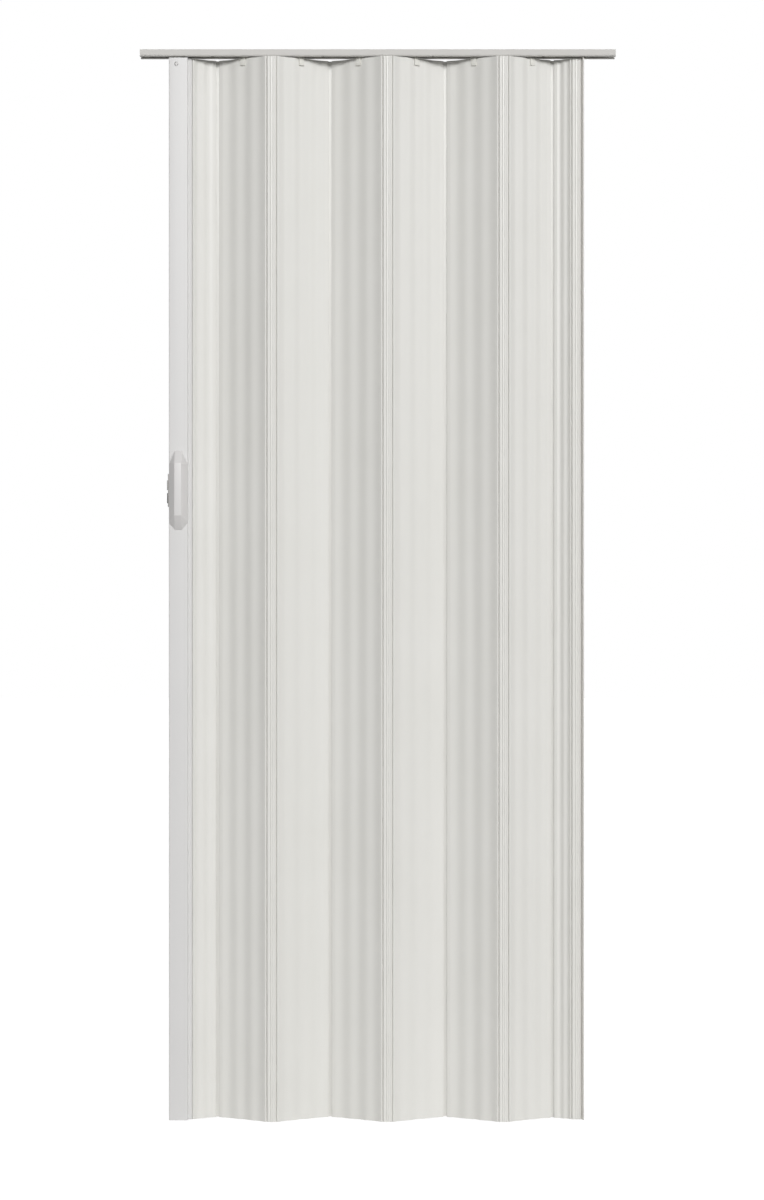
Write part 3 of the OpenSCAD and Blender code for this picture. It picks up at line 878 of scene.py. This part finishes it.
@dataclass
class JambStrip:
    """Hollow tapered moulding that holds the last strip to the jamb."""

    layout: Layout
    bead: Bead = field(default_factory=Bead)
    pitch: float = 12.0
    depth: float = 18.0
    thick: float = 7.6
    thin: float = 1.6
    wall: float = 1.2
    gap: float = 0.3
    root: float = 0.4
    end_inset: float = 0.05
    neck_deg: float = 20.0
    hole: float = 4.0
    hole_y: float = -3.4
    hole_pitch: float = 757.0
    hole_count: int = 3

    def build(self) -> bpy.types.Object:
        """Return the moulding with its bead and screw holes."""
        low, high = box_mm("jamb_strip")
        fold = self.layout.right[0].x + self.pitch
        x1, half = high.x, self.depth / 2
        middle = (self.thick + self.thin) / 2
        slope = (self.thick - self.thin) / self.depth
        outline = fillet([
            (x1, -half, 0.4), (x1, half, 0.4), (x1 - self.thick, half, 0.9), (x1 - self.thin, -half, 0.5),
        ])
        inner = half - self.wall
        hollow = [
            (x1 - self.wall, 0), (x1 - self.wall, inner),
            (x1 - middle - slope * inner + self.wall, inner), (x1 - middle + self.wall, 0),
        ]
        shape = Shape().prism(outline, low.z, high.z, UPRIGHT, (hollow,))
        turn = math.radians(self.neck_deg)
        along = Vector((math.cos(turn), math.sin(turn), 0))
        at = Placement(Vector((fold, 0, 0)), along, Vector((-along.y, along.x, 0)), UP)
        neck = self.bead.neck / 2
        open_deg = math.degrees(math.asin(neck / self.bead.radius))
        reach = self.bead.outer + self.gap + self.root
        bead = arc((0, 0), self.bead.radius, open_deg, 360 - open_deg, 24)
        outline = bead + [(reach, -neck), (reach, neck)]
        shape.prism(outline, low.z + self.end_inset, high.z - self.end_inset, at)
        strip = shape.piece("jamb_moulding")
        tools = Shape()
        for i in range(self.hole_count):
            z = (low.z + high.z) / 2 + (i - (self.hole_count - 1) / 2) * self.hole_pitch
            drill = facing(Vector((x1 - self.thick - 1, self.hole_y, z)), Vector((1, 0, 0)), UP)
            tools.bore(self.hole, 0, self.thick + 2, drill)
        carve(strip, tools)
        return strip

    def dress(self) -> None:
        """Build the moulding and give it its vinyl."""
        dress(self.build(), TRIM_PVC, "track", "jamb_strip")


@dataclass
class Hanger:
    """Clip over a panel's top edge and the glider whose pin hangs in it."""

    number: int
    panel: FoldingPanel
    width: float = 9.4
    depth: float = 8.0
    gap: float = 2.3
    bridge: float = 2.5
    edge_round: float = 0.35
    stud: float = 3.0
    stud_taper: float = 0.3
    stud_proud: float = 0.15
    glider_length: float = 16.0
    glider_depth: float = 20.0
    glider_height: float = 3.5
    pin: float = 4.0
    pin_fit: float = 0.05
    collar: float = 6.0
    collar_fit: float = 0.3
    collar_height: float = 2.0

    @property
    def side(self) -> Placement:
        """Frame of the clip's section, its X across the panel and its Z along it."""
        frame = self.panel.at
        along = frame.x_axis
        centre = frame.origin + along * self.panel.hang
        return Placement(centre, Vector((-along.y, along.x, 0)), UP, along)

    @property
    def heights(self) -> tuple[float, float, float]:
        """Heights of the clip's feet, of the underside of its bridge and of its top."""
        low, high = box_mm(f"hanger_clip_{self.number}")
        return low.z, high.z - self.panel.clip_solid, high.z

    def clip(self) -> bpy.types.Object:
        """Return the clip with its two legs, bored for the glider's pin and collar."""
        foot, seat, top = self.heights
        half, gap = self.depth / 2, self.gap / 2
        section = fillet([
            (-half, foot, 0.7), (-gap, foot, 0.5), (-gap, seat, 0.3), (gap, seat, 0.3), (gap, foot, 0.5),
            (half, foot, 0.7), (half, top, 1.0), (-half, top, 1.0),
        ])
        shape = Shape().prism(section, -self.width / 2, self.width / 2, self.side)
        clip = shape.piece(f"clip_{self.number}_saddle")
        soften(clip, self.edge_round)
        drill = Placement(self.side.origin)
        tools = Shape().bore(self.pin + 2 * self.pin_fit, seat - 1, top + 1, drill)
        tools.bore(self.collar + 2 * self.collar_fit, seat - 1, top - self.bridge, drill)
        carve(clip, tools)
        return clip

    def stud_pin(self) -> bpy.types.Object:
        """Return the stud that passes through the panel between the clip's legs."""
        foot, seat, _ = self.heights
        centre = self.side.origin + UP * ((seat + foot) / 2)
        at = facing(centre, self.side.x_axis, UP)
        reach, r = self.depth / 2, self.stud / 2
        tip, end = r - self.stud_taper, reach + self.stud_proud
        profile = [(tip, -end), (r, -reach + 0.1), (r, reach - 0.1), (tip, end)]
        return Shape().lathe(profile, at).piece(f"clip_{self.number}_stud")

    def glider(self) -> bpy.types.Object:
        """Return the glider's head, pin and collar."""
        low, high = box_mm(f"glider_{self.number}")
        at = self.panel.layout.hangers[f"panel_{self.number}"]
        place = Placement(Vector((at.x, at.y, 0)))
        length, depth = self.glider_length / 2, self.glider_depth / 2
        head_z = high.z - self.glider_height
        shape = Shape().prism(rounded_box(-length, -depth, length, depth, 2.5), head_z, high.z, place)
        r, foot = self.pin / 2, low.z
        c, top = self.collar / 2, low.z + self.collar_height
        collar = [(c - 0.4, foot), (c, foot + 0.4), (c, top - 0.3), (c - 0.3, top)]
        shape.lathe([*collar, (r, top), (r, head_z + 0.4)], place)
        return shape.piece(f"glider_{self.number}_slider")

    def dress(self) -> None:
        """Build the clip, its stud and the glider in nylon."""
        node = f"hanger_clip_{self.number}"
        dress(self.clip(), MOULDED_NYLON, self.panel.name, node)
        dress(self.stud_pin(), MOULDED_NYLON, self.panel.name, node)
        glider = self.glider()
        soften(glider, self.edge_round)
        dress(glider, MOULDED_NYLON, f"glider_{self.number}", f"glider_{self.number}")


@dataclass
class CrossScrew:
    """Pan-head screw with a cross recess."""

    shank: float
    length: float
    head: float
    head_height: float
    rim_share: float = 0.35
    arm_share: float = 0.3
    bar_share: float = 0.11
    floor_share: float = 0.12

    def build(self, name: str, at: Placement) -> bpy.types.Object:
        """Return the screw.

        Args:
            name: Name of the piece.
            at: Frame whose Z leaves the surface that the head sits on.
        """
        r, h = self.head / 2, self.head_height
        dome = arc((0, 0), 1.0, 12, 78, 6)
        shank = self.shank / 2
        profile = [(shank * 0.5, -self.length), (shank, -self.length + shank), (shank, 0), (r, 0)]
        profile += [(r * x, h * (self.rim_share + (1 - self.rim_share) * y)) for x, y in dome]
        screw = Shape().lathe(profile, at, 36).piece(name)
        arm, bar, floor = self.head * self.arm_share, self.head * self.bar_share, h * self.floor_share
        tools = Shape()
        for x, y in ((arm, bar), (bar, arm)):
            tools.prism(rounded_box(-x, -y, x, y, bar * 0.4, 2), floor, h + 1, at)
        carve(screw, tools, 38)
        return screw


@dataclass
class LeadPost:
    """Hollow post at the door's leading edge, with its glider and screw."""

    layout: Layout
    bead: Bead = field(default_factory=Bead)
    width: float = 35.8
    depth: float = 22.0
    wall: float = 1.5
    corner: float = 1.5
    reach: float = 4.9
    glider_dx: float = -3.8
    glider_length: float = 26.0
    glider_depth: float = 20.0
    glider_height: float = 3.5
    neck_width: float = 11.0
    neck_depth: float = 8.0
    tongue_width: float = 20.0
    tongue_fit: float = 0.3
    screw_drop: float = 11.5
    screw_hole: float = 3.8
    window_half: float = 5.8
    edge_round: float = 0.3

    @property
    def fold(self) -> float:
        """X of the post's fold line."""
        return self.layout.left[-1].x

    @property
    def right(self) -> float:
        """X of the post's right face."""
        return self.fold - self.reach

    @property
    def left(self) -> float:
        """X of the post's leading face."""
        return self.right - self.width

    @property
    def middle(self) -> float:
        """X of the post's centre."""
        return (self.left + self.right) / 2

    def section(self) -> Loop:
        """Return the closed outline of the post and its socket."""
        front, back = -self.bead.web_front, -self.bead.web_back
        y0, y1 = -self.depth / 2, self.depth / 2
        x0, x1, r = self.left, self.right, self.corner
        body = [(x1, back), *arc((x1 - r, y1 - r), r, 0, 90, 6), *arc((x0 + r, y1 - r), r, 90, 180, 6)]
        body += [*arc((x0 + r, y0 + r), r, 180, 270, 6), *arc((x1 - r, y0 + r), r, 270, 360, 6), (x1, front)]
        return body + self.bead.socket((self.fold, 0))

    def screw_place(self) -> Placement:
        """Return the frame of the glider's screw on the post's front."""
        origin = Vector((self.middle + self.glider_dx, -self.depth / 2, self.layout.top - self.screw_drop))
        return facing(origin, Vector((0, -1, 0)), UP)

    def post(self, latch: SlideLatch) -> bpy.types.Object:
        """Return the post, with the windows and holes that its fittings need.

        Args:
            latch: Latch whose slide and screws pass through the post's leading wall.
        """
        x0, x1 = self.left + self.wall, self.right - self.wall
        y0, y1 = -self.depth / 2 + self.wall, self.depth / 2 - self.wall
        hollow = [(x0, y0), (x1, y0), (x1, y1), (x0, y1)]
        shape = Shape().prism(self.section(), self.layout.bottom, self.layout.top, UPRIGHT, (hollow,))
        post = shape.piece("lead_post_profile")
        tools = Shape().bore(self.screw_hole, -4, 1, self.screw_place())
        low, high = box_mm("latch_slide")
        z0, z1 = low.z - latch.slip, high.z + latch.travel + latch.slip
        side = facing(Vector((self.left, 0, 0)), LEADING, UP)
        half = self.window_half
        tools.prism([(-half, z0), (half, z0), (half, z1), (-half, z1)], -self.wall - 1, 1, side)
        for z in latch.screw_heights():
            tools.bore(latch.screw_hole, -self.wall - 1, 1, side.moved(UP * z))
        carve(post, tools)
        return post

    def glider(self) -> bpy.types.Object:
        """Return the wide glider with its neck and its tongue inside the post."""
        low, high = box_mm("lead_glider")
        place = Placement(Vector((self.middle + self.glider_dx, 0, 0)))
        length, depth = self.glider_length / 2, self.glider_depth / 2
        head_z = high.z - self.glider_height
        tongue = (self.depth - 2 * self.wall - self.tongue_fit) / 2
        neck_w, neck_d = self.neck_width / 2, self.neck_depth / 2
        shape = Shape().prism(rounded_box(-length, -depth, length, depth, 3), head_z, high.z, place)
        neck = rounded_box(-neck_w, -neck_d, neck_w, neck_d, 1)
        shape.prism(neck, self.layout.top - 0.4, head_z + 0.4, place)
        wide = self.tongue_width / 2
        shape.prism(rounded_box(-wide, -tongue, wide, tongue, 0.8), low.z, self.layout.top, place)
        glider = shape.piece("lead_glider_slider")
        soften(glider, self.edge_round)
        carve(glider, Shape().bore(self.screw_hole, -13, 1, self.screw_place()))
        return glider

    def dress(self, latch: SlideLatch) -> None:
        """Build the post, its glider and the screw between them."""
        dress(self.post(latch), POST_PVC, "lead_post", "lead_post")
        dress(self.glider(), MOULDED_NYLON, "lead_post", "lead_glider")
        fixing = CrossScrew(shank=3.5, length=10.0, head=7.6, head_height=1.8)
        screw = fixing.build("lead_glider_fixing", self.screw_place())
        dress(screw, ZINC_PLATE, "lead_post", "lead_glider_screw")


@dataclass
class PullHandle:
    """Faceted pull on one face of the post, drawn solid though the real pull is hollow."""

    post: LeadPost
    side: Side
    width: float = 34.4
    length: float = 149.0
    height: float = 14.0
    grip_width: float = 13.2
    grip_length: float = 98.0
    grip_rise: float = 1.0
    taper_top: float = 24.5
    taper_bottom: float = 13.0
    drop: float = 815.0
    screw_pitch: float = 70.0
    screw_head: float = 7.5
    screw_cover: float = 4.5
    rim: float = 1.0
    edge_round: float = 0.3
    facet_deg: float = 8.0
    crease_deg: float = 24.0

    @property
    def middle(self) -> float:
        """Height of the handle's centre."""
        return self.post.layout.top - self.drop

    def place(self) -> Placement:
        """Return the frame of the handle on its face of the post."""
        out = Vector((0, self.side.value, 0))
        origin = Vector((self.post.middle, self.side.value * self.post.depth / 2, self.middle))
        return facing(origin, out, UP)

    def base(self) -> Loop:
        """Return the tapered outline of the handle's base."""
        half, tip, end = self.width / 2, self.grip_width / 2, self.length / 2
        return [
            (tip, end), (-tip, end), (-half, end - self.taper_top), (-half, -end + self.taper_bottom),
            (-tip, -end), (tip, -end), (half, -end + self.taper_bottom), (half, end - self.taper_top),
        ]

    def build(self) -> bpy.types.Object:
        """Return the faceted body with rounded edges."""
        at = self.place()
        base = self.base()
        half, reach = self.grip_width / 2, self.grip_length / 2
        low, high = self.grip_rise - reach, self.grip_rise + reach
        grip = [(half, high), (-half, high), (-half, low), (half, low)]
        points = [at.point(x, y, z) for z in (0, self.rim) for x, y in base]
        points += [at.point(x, y, self.height) for x, y in grip]
        foot, rim, top = range(8), range(8, 16), range(16, 20)
        faces = [tuple(reversed(foot)), tuple(top)]
        faces += [(foot[i], foot[(i + 1) % 8], rim[(i + 1) % 8], rim[i]) for i in range(8)]
        faces += [
            (rim[0], rim[1], top[1], top[0]),
            (rim[1], rim[2], top[1]),
            (rim[2], rim[3], top[2], top[1]),
            (rim[3], rim[4], top[2]),
            (rim[4], rim[5], top[3], top[2]),
            (rim[5], rim[6], top[3]),
            (rim[6], rim[7], top[0], top[3]),
            (rim[7], rim[0], top[0]),
        ]
        shape = Shape().add(points, faces, at.mirrored)
        handle = shape.piece(f"pull_{self.side.name.lower()}_body", self.facet_deg)
        soften(handle, self.edge_round, 4, self.facet_deg)
        smooth(handle, self.crease_deg)
        if self.side is Side.BACK:
            tools = Shape()
            for end in (-1, 1):
                drill = at.moved(UP * (end * self.screw_pitch / 2))
                tools.bore(self.screw_head, self.height / 2, self.height + 1, drill)
            carve(handle, tools, self.crease_deg)
        return handle

    def dress(self) -> None:
        """Build the handle and give it its moulded ABS."""
        node = f"handle_{self.side.name.lower()}"
        dress(self.build(), MOULDED_ABS, "lead_post", node)

    def dress_screws(self) -> None:
        """Build the two screws that clamp the handles through the post."""
        at = self.place()
        length = self.post.depth + self.height * 1.5 - self.screw_cover
        for number, end in enumerate((1, -1), 1):
            seat = at.moved(Vector((0, self.side.value * self.height / 2, end * self.screw_pitch / 2)))
            clamp = CrossScrew(shank=4.0, length=length, head=7.2, head_height=2.4)
            screw = clamp.build(f"pull_screw_{number}", seat)
            dress(screw, ZINC_PLATE, "lead_post", "handle_screws")


@dataclass
class SlideLatch:
    """Latch on the post's leading edge: plate, boss, slide with its tongue, guide and screws."""

    post: LeadPost
    drop: float = 815.0
    length: float = 62.0
    width: float = 16.0
    thickness: float = 2.0
    boss_length: float = 18.0
    boss_width: float = 10.0
    boss_height: float = 2.0
    tongue_width: float = 5.6
    tongue_length: float = 19.2
    tongue_height: float = 2.0
    tongue_gap: float = 6.0
    tongue_drop: float = 5.0
    travel: float = 5.5
    slip: float = 0.3
    screw_edge: float = 2.7
    screw_hole: float = 2.5
    pilot_hole: float = 2.3
    plate_round: float = 0.4
    boss_round: float = 0.5
    slide_round: float = 0.35

    @property
    def middle(self) -> float:
        """Height of the latch's centre."""
        return self.post.layout.top - self.drop

    def screw_heights(self) -> tuple[float, float]:
        """Return the heights of the two latch screws."""
        reach = self.length / 2 - self.screw_edge
        return self.middle + reach, self.middle - reach

    def place(self) -> Placement:
        """Return the frame of the latch on the post's leading face."""
        return facing(Vector((self.post.left, 0, self.middle)), LEADING, UP)

    def plate(self) -> bpy.types.Object:
        """Return the plate with its boss and the slot for the tongue."""
        at = self.place()
        half, end = self.width / 2, self.length / 2
        slot = self.tongue_width / 2 + self.slip
        slot_z1 = -self.tongue_drop + self.travel + self.slip
        slot_z0 = -self.tongue_drop - self.tongue_length - self.slip
        window = rounded_box(-slot, slot_z0, slot, slot_z1, 0.6)
        shape = Shape().prism(
            rounded_box(-half, -end, half, end, 2.0), 0, self.thickness, at, (window,),
        )
        plate = shape.piece("latch_plate_cover")
        soften(plate, self.plate_round)
        tools = Shape()
        for z in self.screw_heights():
            tools.bore(self.screw_hole, -1, self.thickness + 1, at.moved(UP * (z - self.middle)))
        carve(plate, tools)
        return plate

    def boss(self) -> bpy.types.Object:
        """Return the ribbed boss above the tongue."""
        at = self.place()
        half = self.boss_width / 2
        z0 = -self.tongue_drop + self.tongue_gap
        base, top = self.thickness - 0.2, self.thickness + self.boss_height
        shape = Shape().prism(rounded_box(-half, z0, half, z0 + self.boss_length, 1.5), base, top, at)
        boss = shape.piece("latch_boss")
        soften(boss, self.boss_round)
        return boss

    def slide(self) -> bpy.types.Object:
        """Return the slide and the tongue that stands out of the plate."""
        low, high = box_mm("latch_slide")
        at = self.place()
        tongue = self.tongue_width / 2
        z1 = -self.tongue_drop
        z0 = z1 - self.tongue_length
        outline = rounded_box(-tongue, z0, tongue, z1, 0.8)
        shape = Shape().prism(outline, -1.0, self.thickness + self.tongue_height, at)
        half = (high.y - low.y) / 2
        slide_z0, slide_z1 = low.z - self.middle, high.z - self.middle
        depth = self.post.left - high.x
        shape.prism(rounded_box(-half, slide_z0, half, slide_z1, 0.5), depth, -0.15, at)
        slide = shape.piece("latch_tongue")
        soften(slide, self.slide_round)
        return slide

    def guide(self) -> bpy.types.Object:
        """Return the bar inside the post that keeps the slide in."""
        low, high = box_mm("latch_guide")
        slide_low, slide_high = box_mm("latch_slide")
        at = self.place()
        half, end = self.width / 2, self.length / 2
        near, far = self.post.left - low.x, self.post.left - high.x
        guide = Shape().prism(rounded_box(-half, -end, half, end, 1.0), far, near, at).piece("latch_keeper")
        tools = Shape()
        pocket = (slide_high.y - slide_low.y) / 2 + self.slip
        z0 = slide_low.z - self.middle - self.slip
        z1 = slide_high.z - self.middle + self.travel + self.slip
        depth = self.post.left - slide_high.x - self.slip
        tools.prism([(-pocket, z0), (pocket, z0), (pocket, z1), (-pocket, z1)], depth, near + 1, at)
        for z in self.screw_heights():
            tools.bore(self.pilot_hole, far - 1, near + 1, at.moved(UP * (z - self.middle)))
        carve(guide, tools)
        return guide

    def dress(self) -> None:
        """Build the latch and give each part its plastic or zinc."""
        dress(self.plate(), GREY_POLYPROPYLENE, "lead_post", "latch_plate")
        dress(self.boss(), GREY_POLYPROPYLENE, "lead_post", "latch_plate")
        dress(self.guide(), GREY_POLYPROPYLENE, "lead_post", "latch_guide")
        dress(self.slide(), BLACK_ACETAL, "latch_slide", "latch_slide")
        for number, z in enumerate(self.screw_heights(), 1):
            origin = Vector((self.post.left - self.thickness, 0, z))
            fixing = CrossScrew(shank=2.2, length=6.0, head=4.0, head_height=0.9)
            screw = fixing.build(f"latch_screw_{number}", facing(origin, LEADING, UP))
            dress(screw, ZINC_PLATE, "lead_post", "latch_screws")


@dataclass
class Studio:
    """White room with soft light from the front, and the portrait's camera."""

    floor_z: float = -2.032
    floor_size: float = 40.0
    floor_glow: float = 1.6
    floor_share: float = 0.6
    camera_x: float = 0.008
    camera_y: float = -4.6
    camera_z: float = -1.0369
    lens: float = 73.09
    room_light: float = 0.14
    lamp_spread_deg: float = 16.0
    key_strength: float = 0.62
    key_turn_deg: float = 50.0
    key_rise_deg: float = 17.0
    front_strength: float = 1.95
    front_turn_deg: float = 2.0
    front_rise_deg: float = 20.0
    back_strength: float = 1.3
    back_turn_deg: float = 172.0
    back_rise_deg: float = 10.0

    def floor(self) -> None:
        """Lay a white floor that keeps the door's shadow."""
        half = self.floor_size / 2
        mesh = bpy.data.meshes.new("floor")
        corners = [(-half, -half, 0), (half, -half, 0), (half, half, 0), (-half, half, 0)]
        mesh.from_pydata(corners, [], [(0, 1, 2, 3)])
        floor = place_object("floor", mesh)
        floor.location = (0, 0, self.floor_z)
        material = bpy.data.materials.new("white_floor")
        tree = blank_tree(material)
        path = add_node(tree, "ShaderNodeLightPath").outputs
        seen = largest_of(tree, path["Is Camera Ray"], path["Is Glossy Ray"])
        part = add_node(
            tree, "ShaderNodeMath", {"operation": "MULTIPLY"}, {1: self.floor_share}, {0: seen},
        )
        paint = add_node(tree, "ShaderNodeBsdfDiffuse", values={"Color": linear("#C2C2C0")})
        glow = add_node(
            tree, "ShaderNodeEmission", values={"Color": linear("#FFFFFF"), "Strength": self.floor_glow},
        )
        mixed = add_node(
            tree, "ShaderNodeMixShader",
            links={0: part.outputs[0], 1: paint.outputs["BSDF"], 2: glow.outputs["Emission"]},
        )
        add_node(tree, "ShaderNodeOutputMaterial", links={"Surface": mixed.outputs["Shader"]})
        mesh.materials.append(material)

    def room(self) -> None:
        """Fill the room with even light, white to the eye."""
        world = bpy.data.worlds.new("white_room")
        tree = blank_tree(world)
        path = add_node(tree, "ShaderNodeLightPath").outputs
        seen = largest_of(tree, path["Is Camera Ray"], path["Is Glossy Ray"], path["Is Transmission Ray"])
        lit = add_node(
            tree, "ShaderNodeBackground", values={"Color": linear("#FDFDFF"), "Strength": self.room_light},
        )
        white = add_node(tree, "ShaderNodeBackground", values={"Color": linear("#FFFFFF"), "Strength": 1.0})
        mixed = add_node(
            tree, "ShaderNodeMixShader",
            links={0: seen, 1: lit.outputs["Background"], 2: white.outputs["Background"]},
        )
        add_node(tree, "ShaderNodeOutputWorld", links={"Surface": mixed.outputs["Shader"]})
        bpy.context.scene.world = world

    def lamp(self, name: str, strength: float, turn_deg: float, rise_deg: float) -> None:
        """Hang a far, soft lamp that lights the whole door evenly.

        Args:
            name: Name of the lamp.
            strength: Light on a surface that faces it, in watts per square metre.
            turn_deg: Angle to the right of the door's front.
            rise_deg: Angle above the level.
        """
        data = bpy.data.lights.new(name, "SUN")
        data.energy = strength
        data.angle = math.radians(self.lamp_spread_deg)
        lamp = place_object(name, data)
        turn, rise = math.radians(turn_deg), math.radians(rise_deg)
        place = Vector((math.sin(turn) * math.cos(rise), -math.cos(turn) * math.cos(rise), math.sin(rise)))
        lamp.rotation_euler = (-place).to_track_quat("-Z", "Y").to_euler()

    def camera(self) -> None:
        """Stand the camera where the portrait was taken."""
        data = bpy.data.cameras.new("portrait")
        data.lens = self.lens
        data.sensor_width = 36.0
        data.sensor_fit = "AUTO"
        camera = place_object("portrait", data)
        camera.location = (self.camera_x, self.camera_y, self.camera_z)
        camera.rotation_euler = (math.radians(90), 0, 0)
        bpy.context.scene.camera = camera

    def build(self) -> None:
        """Set the floor, the light and the camera."""
        self.floor()
        self.room()
        self.lamp("key", self.key_strength, self.key_turn_deg, self.key_rise_deg)
        self.lamp("front", self.front_strength, self.front_turn_deg, self.front_rise_deg)
        self.lamp("back", self.back_strength, self.back_turn_deg, self.back_rise_deg)
        self.camera()
        bpy.context.scene.view_settings.view_transform = "Standard"


def main() -> None:
    """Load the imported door, dress each sub-assembly and set the studio."""
    logging.basicConfig(level=logging.INFO, format="%(name)s: %(message)s")
    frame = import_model()
    layout = Layout.read(frame)
    HeadTrack().dress()
    JambStrip(layout).dress()
    panels = {}
    for index, name in enumerate(PANELS):
        panels[name] = FoldingPanel(name, index, layout)
        panels[name].dress()
    for index, name in enumerate(STRIPS):
        HingeStrip(name, index, layout).dress()
    for number in range(1, 7):
        Hanger(number, panels[f"panel_{number}"]).dress()
    post = LeadPost(layout)
    latch = SlideLatch(post)
    post.dress(latch)
    PullHandle(post, Side.FRONT).dress()
    back = PullHandle(post, Side.BACK)
    back.dress()
    back.dress_screws()
    latch.dress()
    Studio().build()


if __name__ == "__main__":
    main()
